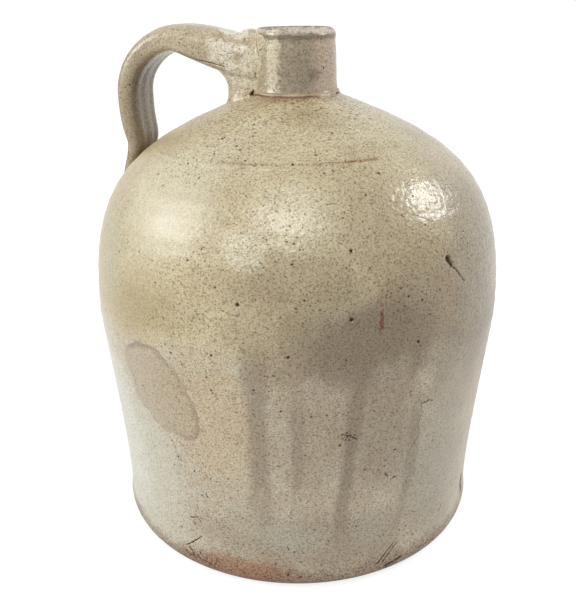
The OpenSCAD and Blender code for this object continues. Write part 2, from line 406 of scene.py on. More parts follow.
def skinDepth(co, s):
    # how far the clay lies under the plain profile; never above it
    spiral = 2 * pi * co.z / s["ringPitch"] + azimuthOf(co)
    rings = s["ringDepth"] * (1 + sin(spiral + 2 * noise.noise(co * 18)))
    hand = s["wobble"] * (1 + noise.noise(Vector((co.x * 7, co.y * 7, co.z * 5 + 3))))
    depth = (rings * eased(co.z, 12 * mm, 30 * mm) + hand) * eased(co.z, 0, 9 * mm)
    # a turned line that climbs a little round the shoulder, a fainter one that runs into it and a low
    # ridge between them
    level = co.z - s["lineHeight"] - co.x * s["lineClimb"] + (-co.y - s["lineFront"]) * s["lineBend"]
    apart = mixed(eased(co.x, -0.02, 0.07), *s["lineGaps"])
    pressed = mixed(eased(-co.x, 0.02, 0.07), 1.0, s["lineFaint"])
    for sunk, off in zip((*s["lineDepths"], -s["lineRidge"]), (0, apart, apart / 2)):
        depth += sunk * pressed * bump(level + off, s["lineWidth"])
    return max(depth, 0)


def pathDistance(co, points):
    # distance to the path, and the share of the path that lies before the nearest place
    best, share = 1.0, 0.0
    for i in range(len(points) - 1):
        start, span = points[i], points[i + 1] - points[i]
        t = min(max((co - start).dot(span) / span.length_squared, 0), 1)
        gap = (co - start - span * t).length
        if gap < best:
            best, share = gap, (i + t) / (len(points) - 1)
    return best, share


def laidOn(skin, path):
    # the path in short steps, each set on the surface
    points = []
    for start, end in zip(path, path[1:]):
        steps = max(1, round((end - start).length / (1.5 * mm)))
        points += [start.lerp(end, i / steps) for i in range(steps)]
    return [skin.find_nearest(point)[0] for point in points + [path[-1]]]


def cutMarks(bm, marks, cuts):
    layer = bm.verts.layers.float.new("cut")
    skin = BVHTree.FromBMesh(bm)
    laid = [(laidOn(skin, path), start, end, depth) for path, start, end, depth in marks]

    def closeTo(path, reach):
        middle = sum(path, Vector()) / len(path)
        span = max((p - middle).length for p in path) + reach
        for v in bm.verts:
            if (v.co - middle).length < span:
                gap, share = pathDistance(v.co, path)
                if gap < reach:
                    yield v, gap, share

    # a finer mesh along each path, then a rounded cut with uneven sides
    edges = set()
    for path, start, end, _ in laid:
        for v, *_ in closeTo(path, max(start, end) * 1.5 * mm + 1.2 * mm):
            edges.update(v.link_edges)
    bmesh.ops.subdivide_edges(bm, edges=list(edges), cuts=cuts, use_grid_fill=True)
    bm.normal_update()
    for path, start, end, depth in laid:
        moves = []
        for v, gap, share in closeTo(path, max(start, end) * 2.5 * mm):
            half = mixed(share, start, end) * mm * (1 + 0.3 * noise.noise(v.co * 900))
            moves.append((v, bump(gap, half * 0.75) ** 1.5, v.normal.copy()))
        for v, share, normal in moves:
            v.co -= normal * depth * mm * share
            # the cut attribute, higher for deeper cuts, carries painted shade into the materials
            v[layer] = max(v[layer], share * min(1, 0.25 + depth * 0.8))


def buildBody():
    s = bodyShape
    outer, inner = bodyOutline(s)
    bm = spunMesh(outer + inner, s["turns"])
    # only the outer skin is uneven: the hollow, the seat and the flat of the foot stay plain
    limit = s["wall"] * 0.6
    for v in bm.verts:
        r = hypot(v.co.x, v.co.y)
        if r < 1 * mm or v.co.z < 0.01 * mm:
            continue
        curve = wallCurve if v.co.z < s["bellyHeight"] else shoulderCurve
        t = climbTo(curve, v.co.z)
        plain = bezier(curve, t)
        if v.co.z > s["seatHeight"] - 0.01 * mm or plain[0] - r > limit and v.co.z > s["footRound"]:
            continue
        if v.co.z < s["footRound"]:
            if hypot(r - (s["footRadius"] - s["footRound"]), v.co.z - s["footRound"]) < s["footRound"] * 0.9:
                continue
        way = heading(curve, t)
        out = Vector((way[1] * v.co.x / r, way[1] * v.co.y / r, -way[0]))
        v.co -= out * skinDepth(v.co, s)
    cutMarks(bm, [([onBody(*p) for p in path], *sizes) for path, *sizes in bodyCuts], 6)
    return bm


def wash(place, azimuth, height, wide, tall, warp, lean=0.0):
    # a soft-edged patch of another glaze colour; a few patches in the list below are painted light and shade
    # instead
    side, out = facing(place, azimuth)
    up = along(place, (0, 0, 1)) - height
    across = (side + up * lean) / wide
    reach = (across * across + (up / tall) * (up / tall)).math("SQRT") + warp
    return reach.between(1.35, 0.45) * out.between(0, 15 * mm)


# azimuth, height, half width, half height, lean, colour, strength
washes = [
    (-58, 0.152, 42 * mm, 26 * mm, 0.1, (108, 91, 70), 0.72),
    (-40, 0.168, 34 * mm, 30 * mm, 0.0, (138, 121, 95), 0.6),
    (-80, 0.160, 22 * mm, 22 * mm, 0.0, (158, 138, 106), 0.4),
    (-92, 0.208, 26 * mm, 16 * mm, 0.0, (188, 166, 126), 0.4),
    (-112, 0.213, 32 * mm, 26 * mm, 0.0, (212, 208, 186), 0.4),
    (-74, 0.212, 24 * mm, 12 * mm, 0.0, (216, 207, 178), 0.6),
    (-73, 0.182, 32 * mm, 15 * mm, 0.0, (160, 142, 112), 0.6),
    (-52, 0.202, 30 * mm, 22 * mm, 0.0, (174, 157, 127), 0.6),
    (-18, 0.192, 30 * mm, 32 * mm, 0.0, (160, 150, 130), 0.7),
    (-114, 0.170, 26 * mm, 11 * mm, 0.0, (184, 166, 128), 0.55),
    (-127, 0.160, 24 * mm, 16 * mm, 0.0, (180, 162, 120), 0.6),
    (-119, 0.156, 20 * mm, 14 * mm, 0.0, (176, 160, 122), 0.45),
    # painted highlight: a pale patch for the glow of the small lamp on the shoulder
    (-86.5, 0.194, 11 * mm, 9 * mm, 0.0, (218, 211, 184), 0.75),
    (-112, 0.158, 26 * mm, 11 * mm, 0.0, (182, 163, 116), 0.5),
    (-20, 0.150, 24 * mm, 26 * mm, 0.0, (140, 122, 94), 0.4),
    (-60, 0.246, 16 * mm, 5 * mm, 0.0, (160, 136, 100), 0.35),
    (-95, 0.102, 28 * mm, 40 * mm, 0.0, (203, 182, 148), 0.6),
    (-68, 0.100, 26 * mm, 34 * mm, 0.0, (166, 148, 122), 0.6),
    (-50, 0.096, 22 * mm, 36 * mm, 0.0, (152, 136, 112), 0.6),
    (-68, 0.030, 64 * mm, 20 * mm, 0.0, (156, 138, 114), 0.65),
    (-120, 0.056, 28 * mm, 52 * mm, 0.0, (208, 206, 186), 0.7),
    # paler glaze low on the left, lightened further as painted reflection of the white surround towards the
    # edge
    (-140, 0.070, 32 * mm, 62 * mm, 0.0, (224, 224, 212), 0.75),
    (-138, 0.178, 28 * mm, 28 * mm, 0.0, (184, 176, 144), 0.8),
    # painted shade: the right edge darkened against the surround's bright reflection there
    (7, 0.148, 34 * mm, 75 * mm, 0.0, (116, 103, 82), 0.62),
    (-19, 0.146, 24 * mm, 36 * mm, 0.0, (148, 138, 118), 0.6),
    (-110, 0.160, 30 * mm, 11 * mm, 0.0, (176, 158, 120), 0.5),
    (-78.5, 0.141, 15 * mm, 11 * mm, 0.0, (158, 140, 110), 0.5),
    (-33, 0.136, 14 * mm, 18 * mm, 0.0, (140, 128, 108), 0.55),
    (-26, 0.112, 22 * mm, 26 * mm, 0.0, (164, 154, 136), 0.5),
    (-76, 0.034, 20 * mm, 12 * mm, 0.2, (186, 184, 166), 0.5),
    (-88, 0.044, 14 * mm, 12 * mm, 0.0, (190, 184, 160), 0.45),
    (-30, 0.062, 28 * mm, 44 * mm, 0.15, (174, 170, 152), 0.75),
    (-48, 0.120, 9 * mm, 7 * mm, 0.0, (176, 158, 132), 0.5),
    (-52, 0.036, 14 * mm, 14 * mm, 0.0, (182, 178, 160), 0.5),
    (60, 0.090, 50 * mm, 50 * mm, 0.1, (170, 150, 120), 0.5),
    (120, 0.170, 60 * mm, 30 * mm, 0.0, (160, 142, 110), 0.4),
    (150, 0.060, 50 * mm, 40 * mm, -0.1, (196, 190, 168), 0.6),
]

# azimuth, half width, top and bottom, lean, strength
glazeRuns = [
    (-83.2, 6.0 * mm, 0.165, 0.026, 0.020, 0.62),
    (-59.8, 4.6 * mm, 0.160, 0.020, -0.070, 0.7),
    (-41.5, 3.6 * mm, 0.130, 0.020, -0.060, 0.5),
    (-73.5, 3.4 * mm, 0.145, 0.040, 0.0, 0.4),
    (-77.5, 6.0 * mm, 0.140, 0.112, 0.9, 0.4),
    (-48.0, 5.0 * mm, 0.130, 0.090, 0.0, 0.3),
    (20.0, 6.0 * mm, 0.135, 0.020, 0.0, 0.5),
    (75.0, 7.0 * mm, 0.140, 0.030, 0.02, 0.45),
    (128.0, 5.0 * mm, 0.130, 0.015, 0.0, 0.5),
]

# the dull stain on the left is drawn by round areas that run together: azimuth, height, radius (mm)
stainAreas = [
    (-119.0, 0.1250, 12.5), (-116.5, 0.1310, 10.0), (-113.0, 0.1290, 12.5), (-110.5, 0.1180, 17.0),
    (-116.5, 0.1110, 13.0), (-111.0, 0.1035, 13.5), (-106.5, 0.1070, 15.0), (-104.2, 0.0990, 10.0),
]

# dark iron specks that stand out: azimuth, height, radius (mm)
specks = [
    (-109.7, 0.2384, 0.9), (-108.9, 0.2390, 0.7), (-95.5, 0.2318, 0.6), (-92.4, 0.2312, 0.75),
    (-74.6, 0.2303, 0.9), (-119.0, 0.2177, 0.8), (-105.1, 0.1833, 0.85), (-110.5, 0.1750, 0.95),
    (-92.9, 0.1783, 0.75), (-96.1, 0.1737, 0.7), (-87.3, 0.1714, 1.25), (-61.1, 0.2275, 0.7),
    (-61.4, 0.2264, 0.6), (-45.5, 0.2251, 0.95), (-32.0, 0.2229, 0.75), (-60.2, 0.1955, 1.1),
    (-42.2, 0.1682, 0.85), (-60.9, 0.1642, 1.3), (-43.4, 0.1472, 1.1), (-93.9, 0.1443, 0.9),
    (-75.5, 0.1466, 1.05), (-95.6, 0.1316, 0.9), (-94.6, 0.1244, 0.95), (-94.3, 0.1230, 0.85),
    (-108.0, 0.0755, 0.9), (-107.7, 0.0697, 0.6), (-92.3, 0.0701, 0.7), (-82.0, 0.1135, 0.6),
    (-77.4, 0.1165, 0.8), (-62.8, 0.0946, 0.9), (-62.2, 0.0985, 0.75), (-61.2, 0.1018, 0.75),
    (-60.4, 0.0972, 0.8), (-59.0, 0.0998, 0.65), (-63.3, 0.1004, 0.6), (-54.7, 0.0911, 0.7),
    (-106.0, 0.0361, 0.7), (-49.8, 0.0764, 0.7), (30, 0.19, 1.0), (95, 0.21, 0.9),
    (140, 0.12, 1.1),
]


def gapTo(place, spot):
    return addNode(place.tree, "ShaderNodeVectorMath", {"operation": "DISTANCE"}, [place, spot],
                   output="Value")


def nearest(place, marks):
    # how deep the place lies inside any of the round marks, 0 to 1
    total = None
    for spot, radius in marks:
        dot = gapTo(place, spot).between(radius * mm * 1.2, radius * mm * 0.5)
        total = dot if total is None else total.math("MAXIMUM", dot)
    return total


def edgeOf(place, areas):
    # distance to the outline of a patch of round areas, below 0 inside it
    total = None
    for azimuth, height, radius in areas:
        gap = gapTo(place, onBody(azimuth, height)) - radius * mm
        total = gap if total is None else addNode(place.tree, "ShaderNodeMath", {"operation": "SMOOTH_MIN"},
                                                  [total, gap, 3 * mm])
    return total


def speckled(colour, place, grain, busy=1.0):
    # iron specks of four sizes, thicker in some places than in others
    thick = noiseAt(place, 26 * mm, 2.0, 0.5, shift=(6, 6, 1)).between(0.38, 0.62, 0.35, 1.0) * busy
    freckle = dotsAt(place, 1.7 * mm, 0.66 * mm, 0.7, soft=0.45) * thick
    coarse = dotsAt(place, 3.4 * mm, 0.92 * mm, 0.6, shift=(2, 3, 1), soft=0.45) * thick
    pits = dotsAt(place, 13 * mm, 1.1 * mm, 0.4, shift=(5, 0, 9), soft=0.3)
    fine = noiseAt(place, 0.75 * mm, 1.0, 0.5, (0.7, 0.7, 1), (2, 9, 2))
    colour = blend(grain.between(0.48, 0.7) * busy * 0.68, colour, (0.46, 0.4, 0.3, 1), "MULTIPLY")
    colour = blend(fine.between(0.52, 0.74) * busy * 0.85, colour, (0.38, 0.31, 0.2, 1), "MULTIPLY")
    colour = blend(grain.between(0.46, 0.28) * busy * 0.8, colour, (1.32, 1.32, 1.3, 1), "MULTIPLY")
    colour = blend(freckle * 0.85, colour, paint(88, 60, 26))
    colour = blend(coarse * 0.9, colour, paint(62, 38, 14))
    metallic = (coarse * 0.7).math("MAXIMUM", pits * 0.9)
    return blend(pits * 0.95, colour, paint(48, 30, 14)), freckle, coarse, pits, metallic


def lineLevel(place, s):
    # the turned line climbs a little round the shoulder, and its colour lies a hair above the cut
    side, out = facing(place, -90)
    return s["lineHeight"] + 0.1 * mm + side * s["lineClimb"] - (out - s["lineFront"]) * s["lineBend"]


def withRuns(colour, place, height, drift, mottle):
    # runs of thin glaze down the lower wall
    for azimuth, width, start, end, lean, strength in glazeRuns:
        side, out = facing(place, azimuth)
        sway = (noiseAt(place, 30 * mm, 1.0, 0.5, (1, 1, 0.8), (azimuth, 0, 0)) - 0.5) * 0.008
        away = abs(side + sway + (height - 0.08) * lean) + (mottle - 0.5) * 5 * mm
        run = away.between(width * 1.5, width * 0.35) * drift.between(0.2, 0.55, 0.55, 1.0)
        run = run * height.between(end, end + 0.04) * height.between(start, start - 0.035)
        colour = blend(run * out.between(0, 20 * mm) * strength, colour, paint(134, 117, 94))
    return colour


def withStain(colour, place, height, cloud, drift, mottle):
    # the dull stain on the left, with its darker rim
    gap = edgeOf(place, stainAreas) + (drift - 0.5) * 5 * mm + (mottle - 0.5) * 1.5 * mm
    inside = gap.between(0.7 * mm, -0.7 * mm)
    across = facing(place, -112)[0]
    shown = (across * 0.75 + (height - 0.115) * 0.65).between(-10 * mm, 1 * mm, 0.2, 1.0)
    rim = gap.between(-4.5 * mm, -0.6 * mm) * inside
    rim = rim * (cloud + mottle * 0.5).between(0.55, 0.95, 0.35, 1.0)
    colour = blend(inside * 0.62, colour, paint(180, 162, 134))
    return blend(rim * shown * 0.8, colour, paint(142, 122, 102))


def withFoot(colour, place, low, warp, grain):
    # bare, toasted clay round the foot, with an orange flash on the left and painted shade along its lowest
    # edge
    colour = blend(low.between(17 * mm, 6 * mm) * 0.75, colour, paint(142, 116, 90))
    flash = wash(place, -92, 0.010, 34 * mm, 9 * mm, warp * 0.9)
    colour = blend(flash * grain.between(0.3, 0.6, 0.5, 0.95), colour, paint(154, 108, 74))
    # painted shade: the lowest rim of the foot darkened where it turns under
    colour = blend(low.between(7 * mm, 1 * mm) * 0.85, colour, paint(84, 62, 46))
    colour = blend(low.between(18 * mm, 7 * mm) * grain.between(0.48, 0.62) * 0.8, colour, paint(84, 60, 38))
    return blend(wash(place, -5, 0.020, 6 * mm, 9 * mm, warp * 0.4) * 0.6, colour, paint(96, 78, 60))


def withRust(colour, place, height, warp, mottle, grain, streak):
    # painted shade along the turned line, rust in a stretch of it, the red stain below it and rusty dots
    # round that
    line = abs(height - lineLevel(place, bodyShape)).between(0.9 * mm, 0.25 * mm)
    out = facing(place, -82)[1]
    # painted shade along the groove of the turned line, broken by the streaks
    turned = line * out.between(60 * mm, 80 * mm) * streak.between(0.42, 0.6)
    colour = blend(turned * 0.6, colour, paint(120, 98, 72))
    side, out = facing(place, -49.5)
    rust = line * line * abs(side).between(12 * mm, 8 * mm) * out.between(0, 20 * mm)
    colour = blend(rust * grain.between(0.35, 0.55, 0.4, 1.0) * 0.9, colour, paint(132, 78, 34))
    red = wash(place, -53.5, 0.162, 1.9 * mm, 8.5 * mm, (mottle - 0.5) * 2.2, -0.12)
    colour = blend((red + (grain - 0.5) * 1.8).between(0.55, 0.8) * 0.92, colour, paint(110, 50, 18))
    rusty = wash(place, -46, 0.172, 20 * mm, 12 * mm, warp * 0.5)
    dots = dotsAt(place, 1.9 * mm, 0.85 * mm, 0.7, shift=(1, 8, 4), soft=0.4)
    return blend(rusty * dots * 0.95, colour, paint(98, 58, 18))


def bodyMaterial():
    material, tree, place = newMaterial("body salt glaze")
    height = along(place, (0, 0, 1))
    cloud = noiseAt(place, 55 * mm, 3.0, 0.55)
    drift = noiseAt(place, 20 * mm, 3.0, 0.6, shift=(3, 1, 7))
    mottle = noiseAt(place, 6 * mm, 3.0, 0.65, shift=(1, 5, 2))
    grain = noiseAt(place, 1.1 * mm, 2.0, 0.75)
    streak = noiseAt(place, 0.95 * mm, 1.5, 0.55, (0.42, 0.42, 2.0), (4, 2, 1))
    side = facing(place, -75)[0]

    # olive tan above the belly, greyer and paler below it
    edge = height + (cloud - 0.5) * 0.03 + (drift - 0.5) * 0.014
    upper = edge.between(136 * mm, 150 * mm)
    tan = blend(cloud.between(0.35, 0.65), paint(210, 199, 164), paint(196, 181, 146))
    grey = blend(drift.between(0.35, 0.65), paint(196, 182, 156), paint(202, 194, 172))
    colour = blend(upper, grey, tan)
    colour = blend(mottle.between(0.45, 0.75) * 0.35, colour, paint(160, 140, 108))
    warp = (drift - 0.5) * 0.9 + (mottle - 0.5) * 0.35
    for azimuth, level, wide, tall, lean, tint, strength in washes:
        colour = blend(wash(place, azimuth, level, wide, tall, warp, lean) * strength, colour, paint(*tint))

    # the whole right side is a browner glaze, and darker too as painted shade away from the left window
    brownerAndShaded = side.between(10 * mm, 50 * mm) * height.between(0.225, 0.185)
    colour = blend(brownerAndShaded, colour, (0.945, 0.915, 0.895, 1), "MULTIPLY")

    low = height + (drift - 0.5) * 10 * mm + (mottle - 0.5) * 6 * mm
    colour = withRuns(colour, place, height, drift, mottle)
    colour = withStain(colour, place, height, cloud, drift, mottle)
    colour = withFoot(colour, place, low, warp, grain)
    colour = withRust(colour, place, height, warp, mottle, grain, streak)

    # brown along the seam under the neck
    seam = height.between(251.4 * mm, 254 * mm) * (drift + grain * 0.3).between(0.45, 0.8)
    colour = blend(seam * 0.7, colour, paint(134, 92, 60))

    # iron specks, fewer on the far left, in the sheen and low on the right, and painted shade in the cuts
    sheen = wash(place, -110, 0.206, 24 * mm, 18 * mm, 0.0)
    busy = side.between(-80 * mm, -50 * mm, 0.7, 1.0) * (1 - sheen * 0.55)
    busy = busy * (1 - side.between(65 * mm, 95 * mm) * height.between(0.15, 0.12) * 0.45)
    colour, freckle, coarse, pits, metallic = speckled(colour, place, grain, busy)
    crown = streak.between(0.55, 0.65) * height.between(0.228, 0.25, 0.06, 0.75)
    colour = blend(crown, colour, paint(108, 80, 42))
    dots = nearest(place, [(onBody(*where), radius) for *where, radius in specks])
    colour = blend(dots * 0.96, colour, paint(46, 30, 18))
    # painted shade: the cuts near black, with their ribs, and metallic so that they reflect nothing
    cut = cutShade(tree)
    ribs = (along(place, (0.45, 0.3, 1.0)) * 4200).math("SINE").between(0.4, 1.0, 1.0, 0.8)
    pitShade = cut.between(0.08, 0.65) * grain.between(0.38, 0.5, 0.6, 1.0) * ribs
    colour = blend(pitShade * 0.97, colour, paint(20, 14, 8))
    metallic = metallic.math("MAXIMUM", dots * 0.95).math("MAXIMUM", cut.between(0.2, 0.6) * 0.9)

    # orange peel, strongest over the front and right of the shoulder, and glossiest there
    out = facing(place, -10)[1]
    front = out.between(-18 * mm, 22 * mm)
    zone = front * 0.75 + 0.25 + out.between(55 * mm, 90 * mm) * 0.25
    zone = zone * height.between(0.11, 0.175, 0.4, 1.0)
    peel = noiseAt(place, 3.0 * mm, 0.5, 0.5, shift=(4, 4, 4))
    fine = noiseAt(place, 1.3 * mm, 0.0, 0.5, (0.7, 0.7, 1), (8, 2, 4))
    skin = (peel + fine * 0.3) * zone + grain * busy * 0.34 + streak * height.between(0.215, 0.25, 0.03, 0.35)
    skin = skin - pits * 1.6 - dots * 2.0 - coarse * 0.45 - freckle * 0.2
    rough = 0.37 - front * height.between(0.13, 0.17) * 0.14 + (drift - 0.5) * 0.12 + pits * 0.3
    rough = rough + low.between(14 * mm, 4 * mm) * 0.2
    finishMaterial(tree, colour, rough, metallic, skin, 0.3 * mm, saltGloss)
    return material


# specks on the neck: place and radius in millimetres
neckSpecks = [((13.2, -20.0, 274.1), 0.75), ((10.4, -21.6, 272.6), 0.75), ((6.4, -23.0, 268.8), 0.55)]


def neckMaterial():
    material, tree, place = newMaterial("neck salt glaze")
    height = along(place, (0, 0, 1))
    cloud = noiseAt(place, 16 * mm, 3.0, 0.6, shift=(2, 2, 6))
    mottle = noiseAt(place, 4.5 * mm, 3.0, 0.65, shift=(1, 5, 2))
    grain = noiseAt(place, 1.1 * mm, 2.0, 0.75)
    streak = noiseAt(place, 1.5 * mm, 2.0, 0.6, (0.25, 0.25, 1), (4, 2, 1))
    colour = blend(cloud.between(0.35, 0.65), paint(190, 177, 146), paint(172, 157, 128))
    colour = blend(mottle.between(0.45, 0.75) * 0.4, colour, paint(142, 122, 92))
    # painted shade down the front, a painted reflection of the left window in a strip beside the handle, a
    # pinkish side made paler as painted light, and a brown spot
    front, out = facing(place, -66)
    shade = abs(front + (mottle - 0.5) * 6 * mm).between(20 * mm, 11 * mm) * out.between(4 * mm, 16 * mm)
    colour = blend(shade * 0.6, colour, paint(142, 131, 112))
    pale, out = facing(place, -106)
    run = abs(pale + (mottle - 0.5) * 10 * mm).between(5.4 * mm, 2.0 * mm) * out.between(0, 15 * mm)
    colour = blend(run * cloud.between(0.25, 0.5, 0.5, 1.0) * 0.8, colour, paint(220, 212, 186))
    out = facing(place, -6)[1]
    colour = blend(out.between(13 * mm, 21 * mm) * 0.65, colour, paint(204, 182, 162))
    stain, out = facing(place, -48)
    up = height - 0.2665
    spot = (stain * stain + up * up * 2).math("SQRT") + (mottle - 0.5) * 9 * mm
    spot = spot.between(5.5 * mm, 1.0 * mm) * out.between(0, 15 * mm)
    colour = blend(spot * 0.7, colour, paint(106, 80, 50))
    colour = blend(streak.between(0.55, 0.7) * 0.3, colour, paint(130, 112, 84))
    # painted shadow in a band under the lip, a painted highlight in a line over it, a brown edge and a
    # toasted foot
    lip = height + (mottle - 0.5) * 2.4 * mm
    band = abs(lip - 285.4 * mm).between(2.0 * mm, 0.6 * mm)
    colour = blend(band * out.between(-10 * mm, 8 * mm, 0.3, 0.75), colour, paint(112, 100, 80))
    colour = blend(abs(lip - 288.2 * mm).between(1.1 * mm, 0.4 * mm) * 0.6, colour, paint(216, 208, 186))
    colour = blend(lip.between(288.9 * mm, 289.6 * mm) * 0.85, colour, paint(98, 72, 52))
    foot = lip.between(258.2 * mm, 256.4 * mm) * cloud.between(0.3, 0.6)
    colour = blend(foot * 0.5, colour, paint(150, 112, 82))
    colour, freckle, coarse, pits, metallic = speckled(colour, place, grain)
    dots = nearest(place, [(Vector(spot) * mm, radius) for spot, radius in neckSpecks])
    colour = blend(dots * 0.96, colour, paint(46, 30, 18))
    # painted shade in the seam's pit and crack, metallic so that they reflect nothing
    cut = cutShade(tree).between(0.2, 0.7)
    colour = blend(cut * 0.95, colour, paint(30, 24, 20))
    metallic = metallic.math("MAXIMUM", dots * 0.95).math("MAXIMUM", cut * 0.9)
    out = facing(place, -25)[1]
    peel = noiseAt(place, 2.5 * mm, 1.0, 0.5, shift=(4, 4, 4))
    skin = peel * out.between(0, 20 * mm, 0.9, 1.6) + grain * 0.24 + streak * 0.3
    skin = skin - pits * 1.5 - coarse * 0.45 - freckle * 0.2
    rough = 0.24 + (cloud - 0.5) * 0.15 + grain * 0.06
    finishMaterial(tree, colour, rough, metallic, skin, 0.3 * mm, saltGloss)
    return material


addPiece("jugBody", buildBody(), bodyMaterial(), "salt_glaze", "jug_body")


# the neck: a short tube with a rounded, uneven rim
neckShape = {
    "baseRadius": neckHigh.x,
    "baseHeight": neckLow.z,
    "top": neckHigh.z,
    "rimRadius": 22.7 * mm,
    "boreRadius": bodyShape["boreRadius"],
    "rimRound": 3.5 * mm,
    "mouthRound": 3.9 * mm,
    "flareShare": 0.12,
    "drawShare": 0.9,
    "evenShare": 0.45,
    "upperShare": 0.36,
    "turns": 220,
    "rings": 44,
    "boreRings": 12,
    "dip": 1.1 * mm,
    "dipAzimuth": -45,
    "dipBand": 14 * mm,
    "wave": 0.25 * mm,
    "lipGroove": 0.25 * mm,
    "lipDrop": 7 * mm,
    "lipWidth": 2.2 * mm,
    "turnMarks": 0.05 * mm,
    "lumps": 0.2 * mm,
    "smallLumps": 0.16 * mm,
}


# the seam's pits and cracks, as places in metres
neckCuts = [
    ([Vector((-0.0215, -0.0162, 0.2556)), Vector((-0.0196, -0.0160, 0.2572))], 1.5, 1.1, 1.8),
    ([Vector((0.0243, -0.0030, 0.2562)), Vector((0.0245, 0.0012, 0.2562))], 0.8, 0.6, 0.9),
]


def buildNeck():
    s = neckShape
    taper = s["baseRadius"] - s["rimRadius"]
    tall = s["top"] - s["baseHeight"]
    curve = [
        (s["baseRadius"], s["baseHeight"]),
        (s["baseRadius"] - s["drawShare"] * taper, s["baseHeight"] + s["flareShare"] * tall),
        (s["rimRadius"] + s["upperShare"] * taper, s["baseHeight"] + s["evenShare"] * tall),
        (s["rimRadius"], s["top"] - s["rimRound"]),
    ]
    bore, mouth = s["boreRadius"], s["mouthRound"]
    outline = [bezier(curve, i / s["rings"]) for i in range(s["rings"])]
    outline += arcPoints((s["rimRadius"] - s["rimRound"], s["top"] - s["rimRound"]), s["rimRound"], 0, 90, 9)
    outline += arcPoints((bore + mouth, s["top"] - mouth), mouth, 90, 180, 9)
    for i in range(1, s["boreRings"] + 1):
        outline.append(Vector((bore, mixed(i / s["boreRings"], s["top"] - mouth, s["baseHeight"]))))
    bm = spunMesh(outline, s["turns"])
    for v in bm.verts:
        r = hypot(v.co.x, v.co.y)
        outside = eased(r, 18 * mm, 20 * mm)
        lift = eased(v.co.z, s["top"] - s["dipBand"], s["top"])
        dip = s["dip"] * max(0, cos(azimuthOf(v.co) - radians(s["dipAzimuth"]))) ** 2
        wave = s["wave"] * (1 + noise.noise(v.co * 40))
        lip = s["lipGroove"] * bump(v.co.z - (s["top"] - s["lipDrop"]), s["lipWidth"])
        turned = s["turnMarks"] * (1 + noise.noise(Vector((v.co.x * 12, v.co.y * 12, v.co.z * 260))))
        lumps = s["lumps"] * (1 + noise.noise(v.co * 60 + Vector((3, 3, 3))))
        lumps += s["smallLumps"] * (1 + noise.noise(v.co * 170))
        inward = outside * (lumps + lip + turned)
        inward *= eased(v.co.z, s["baseHeight"], s["baseHeight"] + 2 * mm)
        v.co.x *= 1 - inward / r
        v.co.y *= 1 - inward / r
        v.co.z -= lift * (dip + wave)
    cutMarks(bm, neckCuts, 3)
    return bm


addPiece("neckCollar", buildNeck(), neckMaterial(), "salt_glaze", "neck_collar")


# slip wiped into the joint under the neck, in place of a plain bead
seamShape = {
    "bore": 15.05 * mm,
    "under": 254.9 * mm,
    "underOut": 24 * mm,
    "over": 255.6 * mm,
    "overOut": 23.8 * mm,
    "toe": (26.3 * mm, 253.8 * mm),
    "slope": [(25.5 * mm, 254.7 * mm), (25.0 * mm, 255.3 * mm), (24.75 * mm, 256.0 * mm)],
    "tip": (24.3 * mm, 256.9 * mm),
    "uneven": 0.35 * mm,
    "turns": 240,
}


# the same pit and crack where they run into the slip
seamCuts = [
    ([Vector((0.0252, -0.0034, 0.2556)), Vector((0.0254, 0.0014, 0.2556))], 0.9, 0.7, 0.9),
    ([Vector((-0.0212, -0.0160, 0.2556)), Vector((-0.0200, -0.0170, 0.2556))], 1.3, 1.0, 1.2),
]


def buildSeam():
    s = seamShape
    places = [(s["bore"], s["under"]), (s["underOut"], s["under"]), s["toe"], *s["slope"], s["tip"],
              (s["overOut"], s["over"]), (s["bore"], s["over"])]
    bm = spunMesh([Vector(p) for p in places], s["turns"])
    for v in bm.verts:
        r = hypot(v.co.x, v.co.y)
        if r > s["underOut"] + 0.1 * mm:
            share = 1 - s["uneven"] * (0.5 + noise.noise(v.co * 220)) / r
            v.co.x *= share
            v.co.y *= share
    cutMarks(bm, seamCuts, 3)
    return bm


def seamMaterial():
    material, tree, place = newMaterial("seam slip")
    height = along(place, (0, 0, 1))
    cloud = noiseAt(place, 7 * mm, 3.0, 0.6)
    grain = noiseAt(place, 1.1 * mm, 2.0, 0.7)
    out = facing(place, -112)[1]
    colour = blend(cloud.between(0.35, 0.65), paint(184, 166, 132), paint(160, 142, 112))
    # reddish slip along the crease, darkened there as painted crease shade
    crease = abs(height - 255.1 * mm + (grain - 0.5) * 0.8 * mm).between(0.8 * mm, 0.25 * mm)
    colour = blend(crease * out.between(6 * mm, 17 * mm, 0.35, 0.95), colour, paint(92, 56, 32))
    red = height.between(255.9 * mm, 254.9 * mm) * out.between(8 * mm, 17 * mm)
    colour = blend(red * cloud.between(0.3, 0.6) * 0.8, colour, paint(126, 80, 46))
    # painted shade in the pit and crack, metallic so that they reflect nothing
    cut = cutShade(tree).between(0.2, 0.7)
    colour = blend(cut * 0.95, colour, paint(30, 24, 20))
    skin = cloud * 0.5 + grain * 0.4
    finishMaterial(tree, colour, 0.3 + grain * 0.1, cut * 0.9, skin, 0.3 * mm, {"IOR": 1.5})
    return material


addPiece("neckSeam", buildSeam(), seamMaterial(), "luting_slip", "neck_luting_slip")


